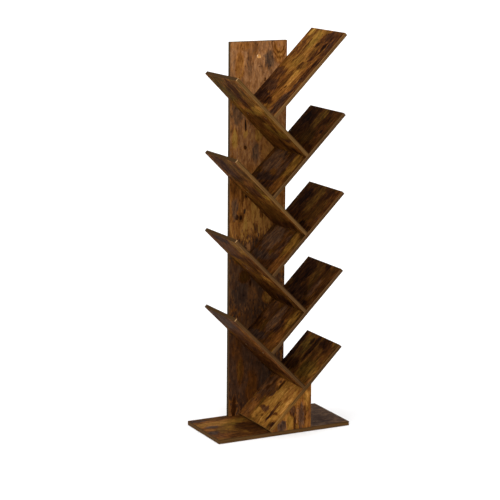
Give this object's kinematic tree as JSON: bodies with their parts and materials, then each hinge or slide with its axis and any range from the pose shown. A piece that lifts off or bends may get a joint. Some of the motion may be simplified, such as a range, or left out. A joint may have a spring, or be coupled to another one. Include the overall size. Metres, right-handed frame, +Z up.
{
  "type": "tree shaped bookshelf",
  "caption": "Tree-shaped standing bookshelf: a trunk panel on a base plate, with sloping branch boards rising to both sides in a zigzag and a triangular support in front.",
  "frame": {"origin": "middle of the base plate's underside, which stands on the floor", "axes": "+Z up along the trunk, +Y to the back (the wall), +X to the right as seen from the front"},
  "size_m": [0.51, 0.25, 1.38],
  "materials": {
    "decor_board": "chipboard with a dark rustic brown wood decor, satin",
    "edge_strip": "thin glued edge strips in plain grey-brown",
    "screw_steel": "zinc plated",
    "dowel_wood": "plain beech"
  },
  "bodies": {
    "root": {"base_plate": "decor_board", "base_edge_bands": "edge_strip", "trunk_panel": "decor_board", "trunk_edge_bands": "edge_strip", "front_support": "decor_board", "front_support_band": "edge_strip", "branch_right_1": "decor_board", "branch_right_2": "decor_board", "branch_right_3": "decor_board", "branch_right_4": "decor_board", "branch_right_5": "decor_board", "branch_left_1": "decor_board", "branch_left_2": "decor_board", "branch_left_3": "decor_board", "branch_left_4": "decor_board", "bands_right_1": "edge_strip", "bands_right_2": "edge_strip", "bands_right_3": "edge_strip", "bands_right_4": "edge_strip", "bands_right_5": "edge_strip", "bands_left_1": "edge_strip", "bands_left_2": "edge_strip", "bands_left_3": "edge_strip", "bands_left_4": "edge_strip", "branch_screws": "screw_steel", "joint_screws": "screw_steel", "trunk_foot_screws": "screw_steel", "support_screws": "screw_steel", "trunk_foot_dowels": "dowel_wood", "support_dowels": "dowel_wood"}
  },
  "joints": []
}
